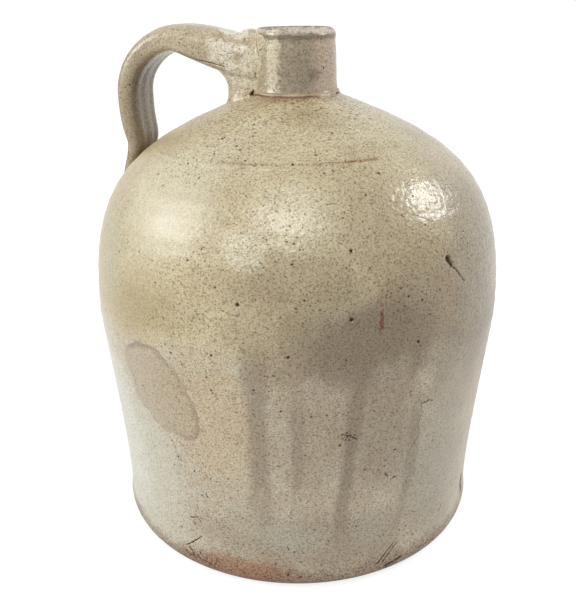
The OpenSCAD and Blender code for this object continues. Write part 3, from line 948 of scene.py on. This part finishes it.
# the pulled strap and the wad under its root
strapShape = {
    "width": 30 * mm,
    "depth": 15 * mm,
    "legDepth": 13.9 * mm,
    "rootDepth": 25 * mm,
    "hollow": 0.8 * mm,
    "rootDrop": 18.8 * mm,
    "reach": 100.7 * mm,
    "reachHeight": 252 * mm,
    "crownOut": 69.8 * mm,
    "crownDrop": 6.2 * mm,
    "tailHeight": 193 * mm,
    "tailWidth": 25 * mm,
    "tailSink": 1.5 * mm,
    "rootBiteShare": 0.66,
    "rootRiseShare": 0.69,
    "rootLiftShare": 0.67,
    "rootFlareShare": 1.07,
    "crownLeadShare": 0.15,
    "crownRoundShare": 0.43,
    "reachRoundShare": 0.58,
    "reachFallShare": 0.62,
    "tailEaseShare": 0.86,
    "tailTipShare": 0.4,
    "tongueShare": 0.16,
    "tongueTipShare": 0.4,
    "outerSquare": 0.78,
    "innerSquare": 0.5,
    "sideSquare": 0.62,
    # grooves left lengthwise by the hand: place across from -1 to 1, width and depth
    "innerGrooves": [(0.42, 0.1, 0.35 * mm), (-0.34, 0.12, 0.35 * mm), (0, 0.12, -0.21 * mm)],
    "outerGrooves": [(0.5, 0.14, 0.3 * mm), (-0.15, 0.2, 0.25 * mm)],
    "sides": 56,
    "steps": (40, 40, 60),
    "voxel": 0.62 * mm,
    "passes": 5,
    "lumps": 0.3 * mm,
    "smallLumps": (0.12 * mm, 0.5 * mm),
    "swell": 0.35 * mm,
}


def strapCurves(s):
    rootOut = s["rootBiteShare"] * neckShape["baseRadius"]
    rootHeight = neckShape["top"] - s["rootDrop"]
    crownOut, crown = s["crownOut"], neckShape["top"] - s["crownDrop"]
    reach, reachHeight = s["reach"], s["reachHeight"]
    tailAt = climbTo(shoulderCurve, s["tailHeight"])
    tip = inset(shoulderCurve, tailAt, s["tailSink"])
    fall = reachHeight - s["tailHeight"]
    span = crownOut - rootOut
    rise = [
        (rootOut, rootHeight),
        (rootOut + s["rootRiseShare"] * span, mixed(s["rootLiftShare"], rootHeight, crown)),
        (crownOut - s["crownLeadShare"] * span, crown),
        (crownOut, crown),
    ]
    bend = [
        (crownOut, crown),
        (mixed(s["crownRoundShare"], crownOut, reach), crown),
        (reach, mixed(s["reachRoundShare"], reachHeight, crown)),
        (reach, reachHeight),
    ]
    leg = [
        (reach, reachHeight),
        (reach, reachHeight - s["reachFallShare"] * fall),
        tip + s["tailEaseShare"] * fall * heading(shoulderCurve, tailAt),
        tip,
    ]
    return [rise, bend, leg]


def powered(value, power):
    # a power that keeps the sign, for rounded square sections
    return abs(value) ** power * (1 if value > 0 else -1)


def strapSize(s, part, t):
    if part == 0:
        return mixed(t, s["rootDepth"], s["depth"]), s["width"] * mixed(t, s["rootFlareShare"], 1)
    if part == 1:
        return mixed(eased(t, 0, 1), s["depth"], s["legDepth"]), s["width"]
    tongue = max(0, (t - (1 - s["tongueShare"])) / s["tongueShare"])
    wide = mixed(t * t, s["width"], s["tailWidth"]) * sqrt(1 - (1 - s["tongueTipShare"] ** 2) * tongue ** 2)
    return s["legDepth"] * mixed(t * t, 1, s["tailTipShare"]), wide


def grooved(side, grooves):
    return sum(depth * bump(side - place, width) for place, width, depth in grooves)


def sectionPoint(s, angle, depth, width):
    across, rise = cos(angle), sin(angle)
    if rise < 0:
        side, up = powered(across, s["sideSquare"]), powered(rise, s["innerSquare"])
        hollow = s["hollow"] * (1 - side * side) ** 2 * depth / s["depth"] + grooved(side, s["innerGrooves"])
    else:
        side, up = powered(across, s["outerSquare"]), powered(rise, s["outerSquare"])
        hollow = -grooved(side, s["outerGrooves"])
    return side * width / 2, up * depth / 2 + hollow


def openRing(bm, sides):
    made = bmesh.ops.create_circle(bm, cap_ends=False, radius=1, segments=sides)["verts"]
    return sorted(made, key=lambda v: azimuthOf(v.co) % (2 * pi))


def nextRing(bm, ring):
    # the next ring of a sweep, in the order of the last one
    edges = [bm.edges.get((ring[j], ring[(j + 1) % len(ring)])) for j in range(len(ring))]
    out = bmesh.ops.extrude_edge_only(bm, edges=edges)["geom"]
    byPlace = {g.co.to_tuple(6): g for g in out if isinstance(g, bmesh.types.BMVert)}
    return [byPlace[v.co.to_tuple(6)] for v in ring]


def closeEnds(bm, first, last):
    bm.faces.new(last)
    bm.faces.new(reversed(first))
    bmesh.ops.recalc_face_normals(bm, faces=bm.faces)


def sweptStrap(s):
    bm = bmesh.new()
    ring = openRing(bm, s["sides"])
    angles = [2 * pi * i / s["sides"] for i in range(s["sides"])]

    def place(verts, part, t):
        curve = strapCurves(s)[part]
        centre, way = bezier(curve, t), heading(curve, t)
        depth, width = strapSize(s, part, t)
        for v, angle in zip(verts, angles):
            side, up = sectionPoint(s, angle, depth, width)
            v.co = (-(centre[0] - way[1] * up), side, centre[1] + way[0] * up)

    place(ring, 0, 0)
    first = list(ring)
    for part in range(3):
        for i in range(1, s["steps"][part] + 1):
            ring = nextRing(bm, ring)
            place(ring, part, i / s["steps"][part])
    closeEnds(bm, first, ring)
    return bm


wadShape = {
    "half": 15.4 * mm,
    "spread": 2.2 * mm,
    "out": 12.2 * mm,
    "foot": 16.4 * mm,
    "depth": 7.5 * mm,
    "topShare": 0.55,
    "underShare": 0.62,
    "liftShare": 0.2,
    "bendShare": 0.4,
    "waistShare": 0.42,
    "coreShare": 0.4,
    "topWidthShare": 0.88,
    "levels": 26,
    "sides": 40,
}


def sweptWad(s, strap):
    neckOut = neckShape["baseRadius"]
    seat = bodyShape["seatHeight"]
    top = bezier(strapCurves(strap)[0], s["topShare"]) - Vector((0, s["underShare"] * strap["depth"]))
    low = seat - s["depth"]
    line = [
        (neckOut + s["foot"], low),
        (neckOut + s["out"], mixed(s["waistShare"], low, top[1]) - s["bendShare"] * s["half"] / 2),
        (neckOut + s["out"], top[1] - s["bendShare"] * s["half"]),
        tuple(top),
    ]
    core = s["coreShare"] * neckOut
    bm = bmesh.new()
    ring = openRing(bm, s["sides"])

    def place(verts, out, height, half):
        for i, v in enumerate(verts):
            a = 2 * pi * i / s["sides"]
            away = (out - core) * powered(cos(a), strap["outerSquare"]) if cos(a) > 0 else core / 2 * cos(a)
            v.co = (-core - away, half * powered(sin(a), strap["sideSquare"]), height)

    place(ring, line[0][0], low, s["half"] + s["spread"])
    first = list(ring)
    for i in range(1, s["levels"] + 2):
        t = min(i / s["levels"], 1)
        ring = nextRing(bm, ring)
        at = bezier(line, t)
        lift = s["liftShare"] * strap["depth"] if i > s["levels"] else 0
        half = s["half"] * mixed(t, 1, s["topWidthShare"]) + s["spread"] * (1 - t) ** 3
        place(ring, at[0], at[1] + lift, half)
    closeEnds(bm, first, ring)
    return bm


# clay thumbed over the joint: a sleeve on the neck and a lump that climbs to the rim
smearShape = {
    "offset": 3.6 * mm,
    "radius": 20.6 * mm,
    "bottom": 258 * mm,
    "top": 287 * mm,
    "boreRadius": 18 * mm,
    "boreDepth": 90 * mm,
    "lump": (26 * mm, 279.5 * mm),
    "lumpSize": (8.5 * mm, 13 * mm, 9.6 * mm),
}


def addCylinder(bm, s, radius, tall, offset, sides):
    middle = (s["top"] + s["bottom"]) / 2
    bmesh.ops.create_cone(bm, cap_ends=True, segments=sides, radius1=radius, radius2=radius, depth=tall,
                          matrix=Matrix.Translation((offset, 0, middle)))


def smearedClay(s):
    bm = bmesh.new()
    addCylinder(bm, s, s["radius"], s["top"] - s["bottom"], -s["offset"], 64)
    out, height = s["lump"]
    placed = Matrix.Translation((-out, 0, height)) @ Matrix.Diagonal((*s["lumpSize"], 1))
    bmesh.ops.create_uvsphere(bm, u_segments=40, v_segments=24, radius=1, matrix=placed)
    return bm


def boreTool(s):
    bm = bmesh.new()
    addCylinder(bm, s, s["boreRadius"], s["boreDepth"], 0, 96)
    return bm


def merged(name, parts, bore, voxel, passes):
    # joins overlapping clay into one skin, opens the bore through it and softens the joints
    bm = bmesh.new()
    for part in parts:
        mesh = bpy.data.meshes.new(name)
        part.to_mesh(mesh)
        part.free()
        bm.from_mesh(mesh)
        bpy.data.meshes.remove(mesh)
    holder = newObject(name, bm)
    tool = newObject("bore", bore)
    remesh = holder.modifiers.new("skin", "REMESH")
    remesh.mode = "VOXEL"
    remesh.voxel_size = voxel
    opened = holder.modifiers.new("opened", "BOOLEAN")
    opened.operation = "DIFFERENCE"
    opened.solver = "EXACT"
    opened.object = tool
    done = holder.evaluated_get(bpy.context.evaluated_depsgraph_get())
    bm = bmesh.new()
    bm.from_mesh(done.to_mesh())
    bpy.data.objects.remove(holder)
    bpy.data.objects.remove(tool)
    for _ in range(passes):
        bmesh.ops.smooth_vert(bm, verts=bm.verts, factor=0.5,
                              use_axis_x=True, use_axis_y=True, use_axis_z=True)
    return bm


# the crease under the strap and the cracks where it meets the neck, as out, side and height
handleCuts = [
    ([(0.0620, -0.0140, 0.2725), (0.0500, -0.0152, 0.2718), (0.0425, -0.0160, 0.2706),
      (0.0365, -0.0162, 0.2690)], 1.0, 0.7, 0.5),
    ([(0.0212, -0.0166, 0.2895), (0.0206, -0.0168, 0.2867), (0.0190, -0.0172, 0.2797),
      (0.0166, -0.0186, 0.2736)], 0.7, 0.45, 0.9),
    ([(0.0185, -0.0172, 0.2665), (0.0188, -0.0172, 0.2615)], 0.5, 0.35, 0.6),
    ([(0.0218, -0.0163, 0.2552), (0.0202, -0.0165, 0.2568)], 1.5, 1.1, 1.8),
]


def strapMaterial():
    material, tree, place = newMaterial("strap salt glaze")
    height = along(place, (0, 0, 1))
    out = along(place, (-1, 0, 0))
    side = along(place, (0, 1, 0))
    cloud = noiseAt(place, 24 * mm, 3.0, 0.55)
    streak = noiseAt(place, 4 * mm, 3.0, 0.6, (0.2, 1, 0.2))
    mottle = noiseAt(place, 5 * mm, 3.0, 0.65, shift=(1, 5, 2))
    grain = noiseAt(place, 1.1 * mm, 2.0, 0.75)
    colour = blend(cloud.between(0.35, 0.65), paint(206, 195, 166), paint(188, 173, 143))
    # the strap's faces: browner out over the bend with painted shade on its outer face, grey with painted
    # shade and pale drag lines inside it
    normal = addNode(tree, "ShaderNodeNewGeometry", output="Normal")
    outward = along(normal, (-1, 0, 0))
    inward = -outward
    leg = out.between(74 * mm, 92 * mm)
    # browner glaze on the leg's outer face, darkened there as painted shade against the left window
    outerBrownAndShade = (outward + (mottle - 0.5) * 0.5).between(0.1, 0.8) * leg
    colour = blend(outerBrownAndShade * 0.85, colour, paint(118, 97, 68))
    # grey glaze on the inner face, darkened as painted shade
    inner = inward.between(0.3, 0.8) * out.between(72 * mm, 80 * mm)
    colour = blend(inner * 0.85, colour, paint(163, 155, 142))
    bands = abs(abs(side) - 5 * mm + (streak - 0.5) * 5 * mm).between(3 * mm, 0.8 * mm)
    colour = blend(inner * bands * 0.5, colour, paint(188, 184, 174))
    colour = blend(streak.between(0.5, 0.75) * 0.3, colour, paint(210, 200, 172))
    shadow = inward.between(-0.55, 0.3) * leg
    colour = blend(shadow * 0.6, colour, paint(112, 92, 64))
    # glaze pooled pale over the joint, paler still as painted highlight on its lumps, with brown between the
    # pools
    joint = abs(out - 33 * mm).between(18 * mm, 6 * mm) * height.between(0.256, 0.266)
    poolAndGlint = noiseAt(place, 8 * mm, 2.0, 0.5, shift=(9, 1, 2))
    colour = blend(joint * poolAndGlint.between(0.37, 0.55) * 0.85, colour, paint(232, 227, 208))
    colour = blend(joint * poolAndGlint.between(0.42, 0.3) * 0.4, colour, paint(174, 153, 120))
    colour = blend(mottle.between(0.5, 0.75) * 0.35, colour, paint(150, 128, 92))
    colour, freckle, coarse, pits, metallic = speckled(colour, place, grain)
    # painted shade in the crease under the strap and the cracks at the neck, metallic so that they reflect
    # nothing
    cut = cutShade(tree)
    colour = blend(cut.between(0.2, 0.65) * 0.9, colour, paint(58, 38, 24))
    metallic = metallic.math("MAXIMUM", cut.between(0.3, 0.8) * 0.8)
    peel = noiseAt(place, 2.2 * mm, 1.0, 0.5, shift=(4, 4, 4))
    skin = peel + streak * 0.5 + grain * 0.14 - coarse * 0.4 - freckle * 0.2 - pits * 1.4
    finishMaterial(tree, colour, 0.22 + grain * 0.1, metallic, skin, 0.3 * mm, saltGloss)
    return material


def buildHandle():
    s = strapShape
    parts = [sweptStrap(s), sweptWad(wadShape, s), smearedClay(smearShape)]
    bm = merged("handle", parts, boreTool(smearShape), s["voxel"], s["passes"])
    bm.normal_update()
    # uneven as a hand leaves it, more so at the joint, and swollen a little for what the smoothing took
    for v in bm.verts:
        joint = eased(v.co.x, -0.048, -0.036)
        lump = s["lumps"] * (1 + noise.noise(v.co * 90)) * 0.5
        lump += mixed(joint, *s["smallLumps"]) * (1 + noise.noise(v.co * 200)) * 0.5
        v.co -= v.normal * (lump - s["swell"])
    cutMarks(bm, [([Vector((-p[0], p[1], p[2])) for p in path], *sizes) for path, *sizes in handleCuts], 1)
    return bm


addPiece("handleStrap", buildHandle(), strapMaterial(), "strap_glaze", "handle_strap", "handle_root_wad")


# the dark lining keeps its CAD shape
def liningMaterial():
    material, tree, place = newMaterial("lining slip")
    cloud = noiseAt(place, 9 * mm, 3.0, 0.6)
    grain = noiseAt(place, 1.2 * mm, 2.0, 0.6)
    colour = blend(cloud.between(0.3, 0.7), paint(46, 28, 18), paint(74, 45, 27))
    skin = cloud * 0.6 + grain * 0.3
    finishMaterial(tree, colour, 0.16 + grain * 0.1, None, skin, 0.2 * mm, {"Coat Weight": 0.5})
    return material


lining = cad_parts["slip_lining"]
lining.data.materials.clear()
lining.data.materials.append(liningMaterial())
print("materials set")


# camera, as the photograph was taken: its azimuth round the jug in degrees, the other angles in radians
cameraShape = {
    "distance": 445.0 * mm,
    "height": 304.8 * mm,
    "azimuth": 16.5,
    "heading": 0.012223,
    "pitch": 0.376310,
    "roll": -0.009616,
    "focalPixels": 765.6,
    "picturePixels": 600,
    "sensor": 36.0,
}


def addCamera(s):
    turn = Matrix.Rotation(radians(s["azimuth"]), 3, "Z")
    level = Matrix.Rotation(s["heading"], 3, "Z")
    right = level @ Vector((1, 0, 0))
    ahead = level @ Vector((0, 1, 0))
    forward = ahead * cos(s["pitch"]) - Vector((0, 0, 1)) * sin(s["pitch"])
    up = ahead * sin(s["pitch"]) + Vector((0, 0, 1)) * cos(s["pitch"])
    rolledRight = right * cos(s["roll"]) + up * sin(s["roll"])
    rolledUp = up * cos(s["roll"]) - right * sin(s["roll"])
    data = bpy.data.cameras.new("camera")
    data.sensor_fit = "VERTICAL"
    data.sensor_height = s["sensor"]
    data.lens = s["focalPixels"] * s["sensor"] / s["picturePixels"]
    data.clip_start = 0.01
    camera = bpy.data.objects.new("camera", data)
    bpy.context.scene.collection.objects.link(camera)
    columns = [turn @ v for v in (rolledRight, rolledUp, -forward)]
    place = turn @ Vector((0, -s["distance"], s["height"]))
    camera.matrix_world = Matrix.Translation(place) @ Matrix(columns).transposed().to_4x4()
    bpy.context.scene.camera = camera


addCamera(cameraShape)


# soft studio light and a white surround, in metres and watts
def addLight(name, place, target, size, power):
    data = bpy.data.lights.new(name, "AREA")
    data.shape = "ELLIPSE"
    data.size, data.size_y = size
    data.energy = power
    light = bpy.data.objects.new(name, data)
    bpy.context.scene.collection.objects.link(light)
    way = Vector(place) - Vector(target)
    light.matrix_world = Matrix.Translation(place) @ way.to_track_quat("Z", "Y").to_matrix().to_4x4()


addLight("left window", (-1.09, -0.55, 0.81), (-0.03, -0.10, 0.20), (0.60, 0.72), 7.4)
addLight("right lamp", (0.964, 0.473, 0.922), (0.083, -0.057, 0.211), (0.44, 0.44), 5.8)
addLight("front panel", (0.09, -0.82, 1.20), (0.024, -0.10, 0.207), (0.70, 0.76), 5.5)
addLight("small lamp", (-0.447, -1.019, 0.84), (-0.001, -0.108, 0.199), (0.15, 0.15), 0.95)


def whiteWorld():
    world = bpy.data.worlds.new("surround")
    bpy.context.scene.world = world
    world.use_nodes = True
    tree = world.node_tree
    tree.nodes.clear()
    # full white where it is seen, dimmer as a light
    strength = seenRays(tree) * 0.63 + 0.37
    background = addNode(tree, "ShaderNodeBackground", {}, {"Color": (1, 1, 1, 1), "Strength": strength})
    addNode(tree, "ShaderNodeOutputWorld", {}, {"Surface": background})


def addFloor():
    bm = bmesh.new()
    bmesh.ops.create_grid(bm, x_segments=1, y_segments=1, size=30)
    floor = newObject("floor", bm)
    material, tree, place = newMaterial("pale floor")
    # whiter away from the jug, so that its soft shadow stays
    away = addNode(tree, "ShaderNodeVectorMath", {"operation": "LENGTH"}, [place], output="Value")
    plain = addNode(tree, "ShaderNodeBsdfDiffuse", {}, {"Color": (0.86, 0.86, 0.86, 1)})
    glow = addNode(tree, "ShaderNodeEmission", {}, {"Color": (1, 1, 1, 1), "Strength": 1.25})
    share = seenRays(tree) * away.between(0.13, 0.6, 0.66, 0.82)
    mixer = addNode(tree, "ShaderNodeMixShader", {}, [share, plain, glow])
    addNode(tree, "ShaderNodeOutputMaterial", {}, {"Surface": mixer})
    floor.data.materials.append(material)


whiteWorld()
addFloor()
bpy.context.scene.view_settings.view_transform = "Standard"
print("camera, lamps and floor placed")
